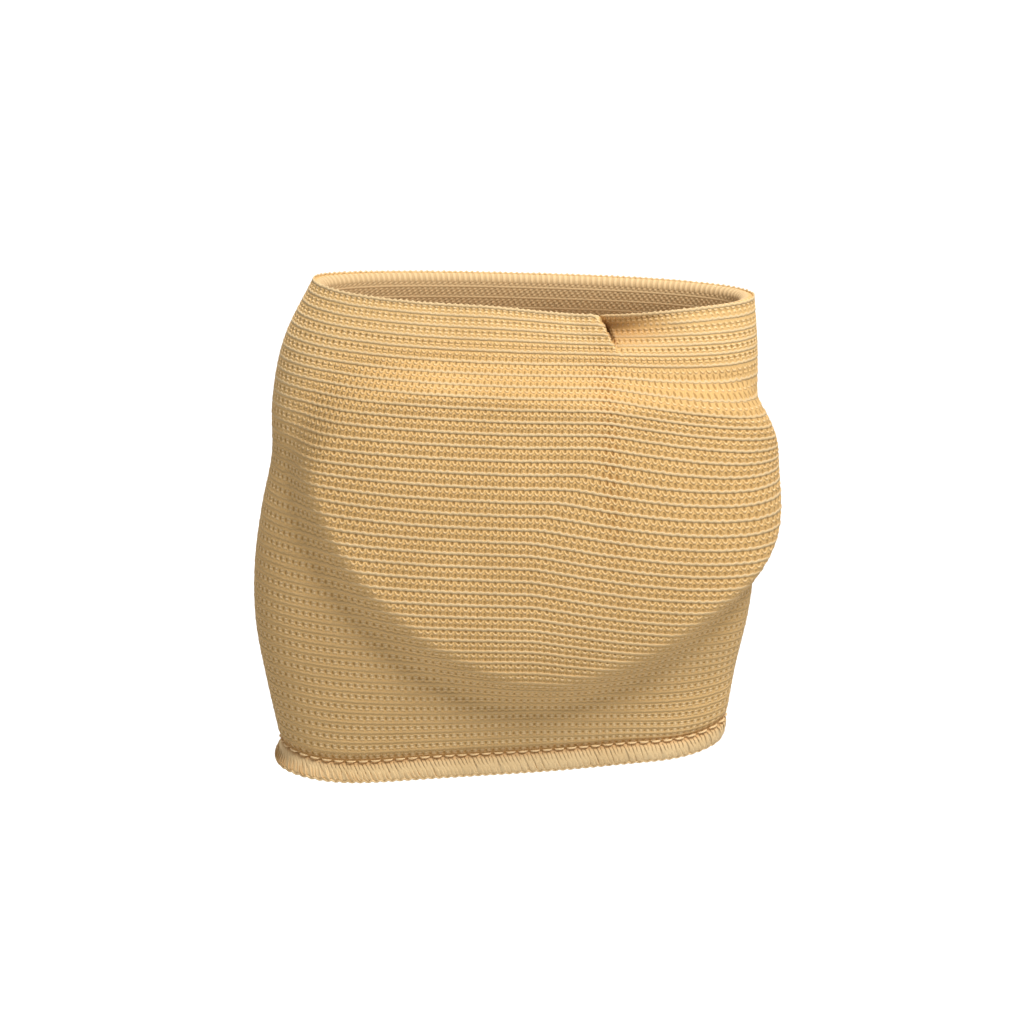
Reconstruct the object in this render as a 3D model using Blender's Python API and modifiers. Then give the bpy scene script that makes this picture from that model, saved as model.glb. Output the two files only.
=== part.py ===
"""A metatarsal pad: a knitted elastic sleeve for the forefoot, with a cushion under the ball.

+Z runs towards the toes, -Y is the sole's side and +X is the big toe's side of a right foot.
The origin is in the middle of the passage that the forefoot fills. Every piece is worked out
from one form, the skin of the forefoot, so that the pad, the knit and the hem stay together
when a size changes. A place on the skin is a share of its girth, from the middle of the sole
towards the big toe, and a height, from 0 at the hem to 1 at the toe edge.
"""

from collections import namedtuple

import bpy
import numpy as np

# The forefoot's form, in metres: half its width, and its depth on each side of the middle plane.
HALF_WIDTH = 0.0500
SOLE_DEPTH = 0.0185
INSTEP_DEPTH = 0.0385

# The sleeve, from the hem to the toe edge. A slant lifts an edge towards the big toe, and a dip
# lowers it under the middle of the sole.
SLEEVE_LENGTH = 0.0864
TOE_EDGE_SLANT = -0.0013
TOE_EDGE_DIP = 0.0016
HEEL_EDGE_SLANT = 0.0018
HEEL_EDGE_DIP = 0.0027
KNIT_WALL = 0.0018

# The toe edge is turned in to a double layer.
TOE_FOLD_WALL = 0.0031
TOE_FOLD_HEIGHT = 0.0060
FOLD_STEP = 0.0035
EDGE_ROUNDING = 0.0006

# The cushion under the ball, measured flat along the skin.
PAD_HALF_WIDTH = 0.0478
PAD_HALF_HEIGHT = 0.0298
PAD_THICKNESS = 0.0050
PAD_EDGE_THICKNESS = 0.0010
PAD_SHOULDER = 0.0080
PAD_OFF_CENTRE = 0.0078
PAD_TO_FOLD = 0.0077

# The knit leaves the skin a little before the cushion's edge, and climbs to the cushion's top.
KNIT_BRIDGE = 0.0045
KNIT_SLOPE = 0.0095

# The overlocked hem at the heel's end. Its free edge flares a little on the little toe's side.
HEM_HEIGHT = 0.0044
HEM_WALL = 0.0028
HEM_ROUNDING = 0.0008
HEM_FLARE = 0.0012

# The pinch in the toe edge, between the first two toes.
PINCH_OFF_CENTRE = 0.0190
PINCH_DEPTH = 0.0030
PINCH_DROP = 0.0012
PINCH_REACH = 0.0110
PINCH_STEEP_SIDE = 0.0040
PINCH_GENTLE_SIDE = 0.0110
PINCH_DROP_SIDE = 0.0240

# Running gap between pieces that touch in the real thing.
CLEARANCE = 0.0003

# How finely the forms are faceted. The hem's rows are shares of its height, from its free edge.
COLUMNS = 64
ROWS = 27
HEM_ROWS = (1.0, 0.4, 0.0)
PAD_SPOKES = 44
PAD_RINGS = (0.30, 0.58, 0.77, 0.86, 0.93, 1.00)
SECTION_POINTS = 721

# A small step along the skin for reading its direction, and the least angle of a sharp edge.
NORMAL_STEP = 0.001
SHARP_ANGLE = np.radians(60.0)

# Sections of the forefoot from the hem to the toe edge. The sides are shares of HALF_WIDTH,
# sole and instep are shares of their depths, and crown and arch are how much the instep and
# the sole grow deeper towards the big toe.
Section = namedtuple("Section", "height little_toe_side big_toe_side sole instep crown arch")
SECTIONS = (
    Section(0.00, 0.900, 0.797, 0.760, 1.000, 0.20, -0.22),
    Section(0.12, 0.950, 0.833, 0.855, 0.920, 0.20, -0.18),
    Section(0.25, 0.990, 0.880, 0.950, 0.810, 0.19, -0.12),
    Section(0.38, 0.990, 0.902, 1.000, 0.710, 0.17, -0.06),
    Section(0.50, 0.960, 0.904, 1.000, 0.630, 0.15, -0.02),
    Section(0.62, 0.917, 0.890, 0.975, 0.560, 0.12, 0.00),
    Section(0.74, 0.912, 0.900, 0.910, 0.495, 0.10, 0.00),
    Section(0.87, 0.865, 0.900, 0.815, 0.435, 0.08, 0.02),
    Section(1.00, 0.750, 0.885, 0.680, 0.385, 0.06, 0.04),
)
SOLE_FLATNESS = 2.7
INSTEP_FLATNESS = 2.2

# The cushion's outline: the turn about its middle from the big toe's side towards the toes, as
# a share of a full turn, and the reach of its edge, as a share of the ellipse of its half sizes.
Outline = namedtuple("Outline", "turn reach")
PAD_OUTLINE = (
    Outline(0.00, 1.00),
    Outline(0.08, 1.08),
    Outline(0.14, 1.10),
    Outline(0.21, 0.99),
    Outline(0.29, 1.05),
    Outline(0.36, 1.20),
    Outline(0.42, 1.13),
    Outline(0.50, 0.95),
    Outline(0.58, 0.87),
    Outline(0.66, 0.92),
    Outline(0.74, 1.02),
    Outline(0.81, 0.93),
    Outline(0.88, 0.86),
    Outline(0.95, 0.92),
)

# Each finish is a colour and a roughness.
Finish = namedtuple("Finish", "colour roughness")
KNIT_FINISH = Finish((0.69, 0.45, 0.20, 1.0), 0.85)
GEL_FINISH = Finish((0.74, 0.55, 0.36, 1.0), 0.45)
HEM_FINISH = Finish((0.69, 0.48, 0.25, 1.0), 0.80)

COLLECTION_NAME = "metatarsal_pad"


def soft_step(share):
    """0 below 0, 1 above 1, and a smooth S between them."""
    share = min(max(share, 0.0), 1.0)
    return share * share * (3.0 - 2.0 * share)


def smooth_curve(places, values, at):
    """A cubic curve through values at places, each slope being that between the neighbours."""
    slopes = np.gradient(values, places)
    at = min(max(at, places[0]), places[-1])
    low = min(int(np.searchsorted(places, at, side="right")) - 1, len(places) - 2)
    span = places[low + 1] - places[low]
    share = (at - places[low]) / span
    back = 1.0 - share
    return (
        values[low] * (1.0 + 2.0 * share) * back**2
        + slopes[low] * span * share * back**2
        + values[low + 1] * (1.0 + 2.0 * back) * share**2
        - slopes[low + 1] * span * back * share**2
    )


def section_at(height):
    """The row of SECTIONS at any height, on smooth curves through its columns."""
    columns = np.array(SECTIONS).T
    return Section(height, *[smooth_curve(columns[0], column, height) for column in columns[1:]])


def section_outline(height):
    """Once round the skin at one height: x, y, the shares of its side and sole, and the distance."""
    section = section_at(height)
    turn = np.linspace(-np.pi, np.pi, SECTION_POINTS)
    on_sole = np.cos(turn) > 0.0
    power = 2.0 / np.where(on_sole, SOLE_FLATNESS, INSTEP_FLATNESS)
    across = np.sign(np.sin(turn)) * np.abs(np.sin(turn)) ** power
    away = np.abs(np.cos(turn)) ** power
    side = np.where(across > 0.0, section.big_toe_side, section.little_toe_side)
    sole = SOLE_DEPTH * section.sole * (1.0 + section.arch * across)
    instep = INSTEP_DEPTH * section.instep * (1.0 + section.crown * across)
    x = HALF_WIDTH * side * across
    y = away * np.where(on_sole, -sole, instep)
    under = away * on_sole
    along = np.concatenate([[0.0], np.cumsum(np.hypot(np.diff(x), np.diff(y)))])
    return x, y, across, under, along - along[SECTION_POINTS // 2]


def girth(height):
    """The distance round the skin at one height."""
    along = section_outline(height)[-1]
    return along[-1] - along[0]


def pinch(along, height):
    """How far the pinch draws the knit in and down at a place."""
    below = (1.0 - height) * SLEEVE_LENGTH
    fade = soft_step(1.0 - below / PINCH_REACH)
    beside = along - PINCH_OFF_CENTRE
    side = PINCH_STEEP_SIDE if beside < 0.0 else PINCH_GENTLE_SIDE
    inward = PINCH_DEPTH * soft_step(1.0 - abs(beside) / side)
    down = PINCH_DROP * soft_step(1.0 - abs(beside) / PINCH_DROP_SIDE)
    return inward * fade, down * fade


def skin_point(share, height):
    """The skin at a place, and its distance from the sole's middle line."""
    *outline, along = section_outline(height)
    around = along[-1] - along[0]
    here = share * around
    x, y, across, under = [np.interp(here, along, values, period=around) for values in outline]
    toe_edge = TOE_EDGE_SLANT * across - TOE_EDGE_DIP * under**2
    heel_edge = HEEL_EDGE_SLANT * across - HEEL_EDGE_DIP * under**2
    down = pinch(here, height)[1]
    lowest = -0.5 * (SLEEVE_LENGTH + CLEARANCE + HEM_HEIGHT)
    z = lowest + HEM_HEIGHT + CLEARANCE + SLEEVE_LENGTH * height
    return np.array([x, y, z + height * toe_edge + (1.0 - height) * heel_edge - down]), here


def skin_normal(share, height):
    """The skin's outward direction at a place."""
    low = max(height - NORMAL_STEP, 0.0)
    high = min(height + NORMAL_STEP, 1.0)
    around = skin_point(share + NORMAL_STEP, height)[0] - skin_point(share - NORMAL_STEP, height)[0]
    up = skin_point(share, high)[0] - skin_point(share, low)[0]
    normal = np.cross(around, up)
    return normal / np.linalg.norm(normal)


def pad_middle_height():
    """The cushion's middle, as a height on the sleeve."""
    below_toe_edge = TOE_FOLD_HEIGHT + PAD_TO_FOLD + PAD_HALF_HEIGHT
    return 1.0 - below_toe_edge / SLEEVE_LENGTH


def pad_edge_reach(turn):
    """How far the cushion's edge lies from its middle at a turn, along the skin."""
    turns = [row.turn for row in PAD_OUTLINE]
    reaches = [row.reach for row in PAD_OUTLINE]
    before = [turn - 1.0 for turn in turns]
    after = [turn + 1.0 for turn in turns]
    reach = smooth_curve(before + turns + after, reaches * 3, turn)
    angle = 2.0 * np.pi * turn
    return reach * PAD_HALF_WIDTH * np.cos(angle), reach * PAD_HALF_HEIGHT * np.sin(angle)


def inside_pad_edge(along, height):
    """How far a place lies inside the cushion's edge, on the line from the cushion's middle."""
    across = along - PAD_OFF_CENTRE
    up = (height - pad_middle_height()) * SLEEVE_LENGTH
    turn = np.arctan2(up / PAD_HALF_HEIGHT, across / PAD_HALF_WIDTH) / (2.0 * np.pi)
    return np.hypot(*pad_edge_reach(turn % 1.0)) - np.hypot(across, up)


def knit_lift(along, height):
    """How far the knit's inner face stands off the skin: over the cushion it makes a bridge."""
    beyond = inside_pad_edge(along, height) + KNIT_BRIDGE
    bulge = PAD_THICKNESS * soft_step(beyond / KNIT_SLOPE)
    return CLEARANCE + bulge - fold_extra(height) - pinch(along, height)[0]


def fold_extra(height):
    """The second layer of the turned-in toe edge, which lies on the inside."""
    below = (1.0 - height) * SLEEVE_LENGTH
    return (TOE_FOLD_WALL - KNIT_WALL) * soft_step((TOE_FOLD_HEIGHT + FOLD_STEP - below) / FOLD_STEP)


def shares_around():
    """One share of the girth for each column of the sleeve and the hem."""
    return [column / COLUMNS - 0.5 for column in range(COLUMNS)]


def ring_faces(rows, columns):
    """Quads between rows of points that each close on themselves, facing away from the axis."""
    faces = []
    for row in range(rows - 1):
        for column in range(columns):
            beside = (column + 1) % columns
            low = row * columns
            high = low + columns
            faces.append((low + column, low + beside, high + beside, high + column))
    return faces


def add_piece(name, points, faces, finish):
    """An object of the given points and faces, shaded smooth, with its own material."""
    mesh = bpy.data.meshes.new(name)
    mesh.from_pydata([tuple(point) for point in points], [], faces)
    mesh.shade_smooth()
    material = bpy.data.materials.new(name)
    material.use_nodes = True
    surface = material.node_tree.nodes["Principled BSDF"]
    surface.inputs["Base Color"].default_value = finish.colour
    surface.inputs["Roughness"].default_value = finish.roughness
    surface.inputs["Metallic"].default_value = 0.0
    mesh.materials.append(material)
    piece = bpy.data.objects.new(name, mesh)
    bpy.data.collections[COLLECTION_NAME].objects.link(piece)
    return piece


def thicken(piece, wall, shares=None):
    """A wall on the outer side of an open surface, thinner where its points' shares say so."""
    solidify = piece.modifiers.new("Wall", "SOLIDIFY")
    solidify.thickness = wall
    solidify.offset = 1.0
    solidify.use_even_offset = True
    if shares is not None:
        group = piece.vertex_groups.new(name="Wall share")
        for index, share in enumerate(shares):
            group.add([index], share, "REPLACE")
        solidify.vertex_group = group.name


def round_edges(piece, radius, segments=1):
    """Rounded edges wherever two faces meet at a right angle or near it."""
    bevel = piece.modifiers.new("Rounding", "BEVEL")
    bevel.width = radius
    bevel.segments = segments
    bevel.limit_method = "ANGLE"
    bevel.angle_limit = SHARP_ANGLE


def make_knit_sleeve():
    """The knitted tube, lofted through the skin's sections, with its turned-in toe edge."""
    points = []
    walls = []
    for row in range(ROWS):
        height = row / (ROWS - 1)
        for share in shares_around():
            point, along = skin_point(share, height)
            points.append(point + skin_normal(share, height) * knit_lift(along, height))
            walls.append(KNIT_WALL + fold_extra(height))
    faces = ring_faces(ROWS, COLUMNS)
    sleeve = add_piece("knit_sleeve", points, faces, KNIT_FINISH)
    thickest = max(walls)
    thicken(sleeve, thickest, [wall / thickest for wall in walls])
    round_edges(sleeve, EDGE_ROUNDING)


def make_gel_pad():
    """The cushion: rings of points on the skin round its middle, thickened towards the knit."""
    spokes = [pad_edge_reach(spoke / PAD_SPOKES) for spoke in range(PAD_SPOKES)]
    flat = [(0.0, 0.0)]
    walls = [PAD_THICKNESS]
    for ring in PAD_RINGS:
        for across, up in spokes:
            inside = (1.0 - ring) * np.hypot(across, up)
            rise = soft_step(inside / PAD_SHOULDER)
            flat.append((ring * across, ring * up))
            walls.append(PAD_EDGE_THICKNESS + (PAD_THICKNESS - PAD_EDGE_THICKNESS) * rise)
    points = []
    for across, up in flat:
        height = pad_middle_height() + up / SLEEVE_LENGTH
        share = (PAD_OFF_CENTRE + across) / girth(height)
        points.append(skin_point(share, height)[0])
    faces = [(0, 1 + spoke, 1 + (spoke + 1) % PAD_SPOKES) for spoke in range(PAD_SPOKES)]
    for face in ring_faces(len(PAD_RINGS), PAD_SPOKES):
        faces.append(tuple(1 + index for index in reversed(face)))
    pad = add_piece("gel_pad", points, faces, GEL_FINISH)
    thicken(pad, PAD_THICKNESS, [wall / PAD_THICKNESS for wall in walls])


def make_heel_hem():
    """The overlocked hem: a band that goes on from the sleeve, a little deeper on both sides."""
    inset = CLEARANCE - 0.5 * (HEM_WALL - KNIT_WALL)
    points = []
    for down_share in HEM_ROWS:
        flare = HEM_FLARE * max(down_share - HEM_ROWS[1], 0.0) / (HEM_ROWS[0] - HEM_ROWS[1])
        for share in shares_around():
            point = skin_point(share, 0.0)[0]
            down = point - skin_point(share, NORMAL_STEP)[0]
            down /= np.linalg.norm(down)
            out = inset + flare * max(-point[0] / HALF_WIDTH, 0.0) ** 3
            below = CLEARANCE + HEM_HEIGHT * down_share
            points.append(point + skin_normal(share, 0.0) * out + down * below)
    hem = add_piece("heel_hem", points, ring_faces(len(HEM_ROWS), COLUMNS), HEM_FINISH)
    thicken(hem, HEM_WALL)
    round_edges(hem, HEM_ROUNDING, segments=2)


def main():
    """An empty scene, a collection for the object, and its three pieces."""
    for leftover in list(bpy.data.objects):
        bpy.data.objects.remove(leftover)
    collection = bpy.data.collections.new(COLLECTION_NAME)
    bpy.context.scene.collection.children.link(collection)
    make_knit_sleeve()
    make_gel_pad()
    make_heel_hem()


main()
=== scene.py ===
"""The looks of a metatarsal pad: a knitted elastic sleeve with a gel cushion at the ball.

The frame gives the three solids at their real size. This script stands for each of them with
the cloth, the yarns and the gel that the real one is made of, in the same places. A place on
the sleeve is a share of its girth, from the middle of the sole towards the big toe, and a
height, from 0 at the hem to 1 at the toe edge. +Z runs to the toes and -Y is the sole's side.
"""

import math
from collections import namedtuple

import bmesh
import bpy
import numpy as np
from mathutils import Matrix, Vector


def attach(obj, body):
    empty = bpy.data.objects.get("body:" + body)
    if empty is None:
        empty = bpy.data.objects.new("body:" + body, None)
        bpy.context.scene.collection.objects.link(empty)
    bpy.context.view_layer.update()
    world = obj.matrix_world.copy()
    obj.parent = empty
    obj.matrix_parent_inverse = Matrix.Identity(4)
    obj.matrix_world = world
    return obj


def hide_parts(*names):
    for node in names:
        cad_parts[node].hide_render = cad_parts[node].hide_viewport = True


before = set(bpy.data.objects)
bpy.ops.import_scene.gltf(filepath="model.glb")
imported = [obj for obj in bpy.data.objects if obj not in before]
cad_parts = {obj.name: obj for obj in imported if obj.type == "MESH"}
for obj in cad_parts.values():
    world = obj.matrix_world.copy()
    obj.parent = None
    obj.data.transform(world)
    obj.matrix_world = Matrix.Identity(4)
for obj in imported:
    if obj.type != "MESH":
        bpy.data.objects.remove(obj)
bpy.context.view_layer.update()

# The forefoot's form, as the solids have it, in metres.
HALF_WIDTH = 0.0500
SOLE_DEPTH = 0.0185
INSTEP_DEPTH = 0.0385
SOLE_FLATNESS = 2.7
INSTEP_FLATNESS = 2.2
SLEEVE_LENGTH = 0.0864
TOE_EDGE_SLANT = -0.0013
TOE_EDGE_DIP = 0.0016
HEEL_EDGE_SLANT = 0.0018
HEEL_EDGE_DIP = 0.0027
KNIT_WALL = 0.0018
TOE_FOLD_WALL = 0.0031
TOE_FOLD_HEIGHT = 0.0060
FOLD_STEP = 0.0035
CLEARANCE = 0.0003
HEM_HEIGHT = 0.0044
HEM_WALL = 0.0028
HEM_FLARE = 0.0024
LOWEST = -0.5 * (SLEEVE_LENGTH + CLEARANCE + HEM_HEIGHT)

# The cushion, measured flat along the skin, and the knit's bridge over its edge.
PAD_HALF_WIDTH = 0.0478
PAD_HALF_HEIGHT = 0.0298
PAD_THICKNESS = 0.0050
PAD_EDGE_THICKNESS = 0.0010
PAD_SHOULDER = 0.0080
PAD_OFF_CENTRE = 0.0078
PAD_TO_FOLD = 0.0077
PAD_MIDDLE = 1.0 - (TOE_FOLD_HEIGHT + PAD_TO_FOLD + PAD_HALF_HEIGHT) / SLEEVE_LENGTH
KNIT_BRIDGE = 0.0045
KNIT_SLOPE = 0.0095

Section = namedtuple("Section", "height little_toe_side big_toe_side sole instep crown arch")
SECTIONS = (
    Section(0.00, 0.900, 0.797, 0.760, 1.000, 0.20, -0.22),
    Section(0.12, 0.950, 0.833, 0.855, 0.920, 0.20, -0.18),
    Section(0.25, 0.990, 0.880, 0.950, 0.810, 0.19, -0.12),
    Section(0.38, 0.990, 0.902, 1.000, 0.710, 0.17, -0.06),
    Section(0.50, 0.960, 0.904, 1.000, 0.630, 0.15, -0.02),
    Section(0.62, 0.917, 0.890, 0.975, 0.560, 0.12, 0.00),
    Section(0.74, 0.912, 0.900, 0.910, 0.495, 0.10, 0.00),
    Section(0.87, 0.865, 0.900, 0.815, 0.435, 0.08, 0.02),
    Section(1.00, 0.750, 0.885, 0.680, 0.385, 0.06, 0.04),
)
Outline = namedtuple("Outline", "turn reach")
PAD_OUTLINE = (
    Outline(0.00, 1.00),
    Outline(0.08, 1.08),
    Outline(0.14, 1.10),
    Outline(0.21, 0.99),
    Outline(0.29, 1.05),
    Outline(0.36, 1.20),
    Outline(0.42, 1.13),
    Outline(0.50, 0.95),
    Outline(0.58, 0.87),
    Outline(0.66, 0.92),
    Outline(0.74, 1.02),
    Outline(0.81, 0.93),
    Outline(0.88, 0.86),
    Outline(0.95, 0.92),
)

# The pinch in the toe edge: the little toe's side laps over the big toe's side, which is drawn
# in. Its slit leans towards the big toe on the way down, and the cloth folds deep into it. The
# lean and the pinch end at PINCH_LEAN_END and PINCH_FADE_END of its reach. The hollow beside the
# slit, under the toe edge's brow, and the slit itself get painted shade: PINCH_SHADE and
# SLIT_SHADE.
PINCH_OFF_CENTRE = 0.0153
PINCH_LEAN = 0.0036
PINCH_REACH = 0.0068
PINCH_LEAN_END = 1.4
PINCH_FADE_END = 1.3
PINCH_DEPTH = 0.0032
PINCH_LAP = 0.0008
PINCH_LAP_SIDE = 0.0060
PINCH_OVERLAP = 0.0009
PINCH_OVERLAP_SIDE = 0.0011
PINCH_GROOVE = 0.0027
PINCH_GROOVE_INSIDE = 0.25
PINCH_GROOVE_HALF_WIDTH = 0.0006
PINCH_NOTCH = 0.0010
PINCH_DROP = 0.0012
PINCH_DROP_SIDE = 0.0240
PINCH_DROP_REACH = 0.0110
PINCH_STEP = 0.0008
PINCH_GENTLE_SIDE = 0.0170
PINCH_BROW = 0.0024
PINCH_BROW_SHARE = 0.25
PINCH_SHADE = 0.68
SLIT_SHADE = 2.4
SLIT_SHADE_START = 0.0022
SLIT_SHADE_END = 0.0058
SLIT_SHADE_STEP = 0.0012

# The hem hangs lower at its two corners and is narrower there. Places and spreads are shares of
# the half width.
Corner = namedtuple("Corner", "place spread drop")
CORNERS = (
    Corner(-0.76, 0.30, 0.0022),
    Corner(0.68, 0.20, 0.0016),
)
CORNER_HEIGHT = 0.22
CORNER_HEM_SHARE = 0.35

# The knit: wales run from hem to toe edge, courses run round. At the toe edge the wales gather
# towards the pinch.
WALES = 170
COURSES = 40

# A rib of inlaid elastic lies between each two courses, and one a little below the top of the
# last. At each wale it rises by RIB_WAVE of a course, comes out by RIB_WAVE_RISE and is wider by a
# share, RIB_SWELL. Chance moves it by up to RIB_WOBBLE of a course.
RIB_HALF_WIDTH = 0.00040
RIB_HALF_RISE = 0.00013
RIB_SINK = 0.00014
RIB_WAVE = 0.055
RIB_WAVE_RISE = 0.00006
RIB_SWELL = 0.12
RIB_WOBBLE = 0.025
RIB_SEED = 3
TOP_RIB_BELOW = 0.15

# The strands of the stitches, and how far chance moves them: shares of a wale and of a course.
YARN_HALF_WIDTH = 0.00028
YARN_HALF_RISE = 0.00015
YARN_SINK = 0.00026
NUB_RISE = 0.00014
STRAND_WOBBLE_ASIDE = 0.04
STRAND_WOBBLE_UP = 0.015
STITCH_SEED = 11

# The stitches are three pieces, each a band of courses.
CourseBand = namedtuple("CourseBand", "name first end")
COURSE_BANDS = (
    CourseBand("stitches_heel", 0, 14),
    CourseBand("stitches_ball", 14, 27),
    CourseBand("stitches_toe", 27, COURSES),
)

# How far the two strands of a course lie from its middle, as shares of a course: over the cushion
# at rest and where they reach for the rib, and off it apart and where they meet.
OPEN_REST = 0.02
OPEN_REACH = 0.36
OPEN_POWER = 3.0
CLOSED_REST = 0.32
CLOSED_MEET = 0.24

# How far the ground lies below the sleeve's outer face, where the knit is open and where it isn't.
GROUND_BELOW = 0.00017
SLACK_GROUND_BELOW = 0.00010

# Where the knit is stretched and where its holes are open: over the cushion, from a little beyond
# its edge, and near the toes. Lengths along the skin, and heights from 0 to 1. At the cushion's
# low end some of the stretch is taken away, so that the darker slack colours paint shade there;
# the three numbers after the toes' say how much, from what height and over what step.
# DOUBLED_HOLES is how much less painted shade the holes get over the turned-in edge.
STRETCH_START = 0.0010
STRETCH_STEP = 0.0080
STRETCH_TOES = 0.62
STRETCH_TOES_STEP = 0.22
# Painted shade at the cushion's low end: the share of the stretch taken away there.
LOW_PAD_SHADE = 0.55
LOW_PAD_SHADE_TOP = 0.38
LOW_PAD_SHADE_STEP = 0.18
OPEN_START = 0.0010
OPEN_STEP = 0.0080
OPEN_MORE = 0.0090
OPEN_TOES = 0.60
OPEN_TOES_STEP = 0.20
DOUBLED_HOLES = 0.50

# How the pinch gathers the wales towards the toe edge, whose girth is TOE_GIRTH. The gather and
# its spread are shares of the girth, and it starts at a height.
TOE_GIRTH = 0.19
GATHER = 0.0065
GATHER_SPREAD = 0.075
GATHER_START = 0.60

# A faint crease runs down the wales below the pinch, with painted shade in it. Its half width is
# in wales, and its ends are heights.
CREASE_WALE = 98.7
CREASE_HALF_WIDTH = 1.5
CREASE_SHADE = 0.50
CREASE_TOP = 0.94
CREASE_TOP_STEP = 0.08
CREASE_END = 0.36
CREASE_END_STEP = 0.30

# The hem's band, its threads and the painted shade on its top. HEM_SQUARENESS is the power of
# the cosine and the sine that round its section, and HEM_LEAN_SHARE is how much of its flare it
# has half way up.
HEM_WRAPS = 150
HEM_THREAD = 0.00030
HEM_THREAD_SHARE = 0.3
HEM_SQUARENESS = 0.7
HEM_LEAN_SHARE = 0.2
HEM_PULL = 0.00006
HEM_TOP_SHADE = 0.50
HEM_SHADE_FROM = 0.35
HEM_SHADE_STEP = 0.50

# The overlock threads: shares of a wrap for where they start, wander and lean, and of HEM_THREAD
# for how proud, wide and high they are.
THREAD_OFFSETS = (0.0, 0.48)
THREAD_WANDER = 0.17
THREAD_LEAN = 0.34
THREAD_LIFT = 0.10
THREAD_HALF_WIDTH = 1.65
THREAD_HALF_RISE = 0.20
THREAD_SEED = 5

# The scalloped thread: its place is an angle outward from the hem's foot, in radians, and its
# proud numbers are shares of HEM_THREAD.
SCALLOP_PLACE = 0.42
SCALLOP_SWING = 0.16
SCALLOP_PROUD = 0.42
SCALLOP_PROUD_SWING = 0.30
SCALLOP_HALF_WIDTH = 0.00026
SCALLOP_HALF_RISE = 0.00024

# The row of needle stitches and the groove that it pulls, and NEEDLE_SHADE, the painted shade at
# the needle holes between the stitches. NEEDLE_GAP is the share of a stitch left free at each of
# its ends.
NEEDLE_STITCHES = 96
NEEDLE_LINE = 0.0003
NEEDLE_GAP = 0.09
NEEDLE_RISE = 0.00054
NEEDLE_SINK = 0.00012
NEEDLE_RADIUS = 0.00020
NEEDLE_TIP_RADIUS = 0.000001
NEEDLE_RISE_POWER = 0.30
NEEDLE_RADIUS_POWER = 0.35
NEEDLE_GROOVE = 0.00045
NEEDLE_GROOVE_HALF_HEIGHT = 0.0008
NEEDLE_SHADE = 0.60

# The camera, the floor and the lamps, in metres, degrees and watts. The picture's middle is how
# far right of the origin and above it, in the picture, the camera aims. The floor's sweep runs
# level up to RUN_END of its points and bends up to BEND_END of them.
SENSOR = 36.0
CAMERA_DISTANCE = 0.70
CAMERA_RISE = 13.0
FIELD = 0.2012
PICTURE_MIDDLE = (-0.0012, 0.0012)
FLOOR = -0.60
FLOOR_FRONT = -1.6
FLOOR_RUN = 3.0
FLOOR_BEND = 0.8
BACKDROP_RISE = 3.0
FLOOR_HALF_WIDTH = 3.5
RUN_END = 0.60
BEND_END = 0.85
SKY_STRENGTH = 0.42
Lamp = namedtuple("Lamp", "name place aim size watts")
LAMPS = (
    Lamp("key", (0.23, -0.33, 0.58), (0.0, 0.0, 0.0), 0.26, 5.35),
    Lamp("fill", (0.10, -0.80, -0.30), (0.0, 0.0, 0.0), 0.60, 0.6),
    Lamp("top", (-0.10, 0.70, 1.00), (0.0, 0.0, 0.0), 0.60, 3.0),
    Lamp("backdrop", (0.0, 0.90, 1.30), (0.0, 1.90, 0.20), 1.00, 30.0),
)

# Colours, as linear red, green and blue. Each pair is the dark and the light of its fibres. Where
# the knit is slack its yarns close over the elastic, so a rib there is nearly the yarn's colour.
YARN_COLOURS = ((0.65, 0.395, 0.14), (0.80, 0.51, 0.205))
SLACK_YARN_COLOURS = ((0.465, 0.285, 0.101), (0.61, 0.395, 0.163))
RIB_COLOURS = ((0.63, 0.44, 0.222), (0.735, 0.54, 0.292))
SLACK_RIB_COLOURS = ((0.52, 0.33, 0.134), (0.655, 0.44, 0.203))
GROUND_COLOURS = ((0.62, 0.385, 0.146), (0.77, 0.50, 0.212))
# Painted shade in the knit's holes.
HOLE_SHADE_COLOURS = ((0.41, 0.222, 0.068), (0.54, 0.315, 0.108))
# Painted shade: brown in a shaded hollow, nearly black deep in a fold.
HOLLOW_SHADE_COLOUR = (0.42, 0.175, 0.034)
FOLD_SHADE_COLOUR = (0.085, 0.026, 0.005)
# Painted highlight on the nubs, which stand up into the light.
NUB_HIGHLIGHT_COLOUR = (0.95, 0.72, 0.42)
NUB_HIGHLIGHT_SHARE = 0.55
BACK_COLOURS = ((0.40, 0.25, 0.11), (0.66, 0.46, 0.24))
HEM_COLOURS = ((0.68, 0.48, 0.245), (0.82, 0.61, 0.335))
THREAD_COLOURS = ((0.74, 0.50, 0.235), (0.91, 0.665, 0.36))
GEL_COLOURS = ((0.62, 0.44, 0.28), (0.78, 0.60, 0.42))
FLOOR_COLOURS = ((0.90, 0.90, 0.90), (0.93, 0.93, 0.93))

# Grains to the metre of the finishes' noises, and the depths of their reliefs in metres.
YARN_FIBRES = 5200.0
YARN_PATCHES = 90.0
YARN_PATCH_SHARE = 0.4
YARN_RELIEF = 0.00012
GROUND_FIBRES = 4200.0
GROUND_FIBRE_SHARE = 0.2
GROUND_RELIEF = 0.00035
GEL_CLOUDS = 120.0
GEL_GRAIN = 2600.0
GEL_RELIEF = 0.00006
SPECULAR = 0.2
SHEEN_ROUGHNESS = 0.5

# Between which values of their cosine patterns the holes, the ridges and the bumps of the ground
# set in, and how dark a bump's foot is on the flat back.
HOLE_EDGE = (0.28, 0.90)
RIDGE_EDGE = (0.45, 1.00)
BUMP_EDGE = (-1.00, 0.60)
BUMP_SHARE = 0.55

# How finely the skin is worked out before the pieces are read from it.
LATTICE_ROWS = 181
LATTICE_COLUMNS = 720
OUTLINE_POINTS = 1441


def soft_step(share):
    """0 below 0, 1 above 1, and a smooth S between them."""
    share = np.clip(share, 0.0, 1.0)
    return share * share * (3.0 - 2.0 * share)


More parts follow.
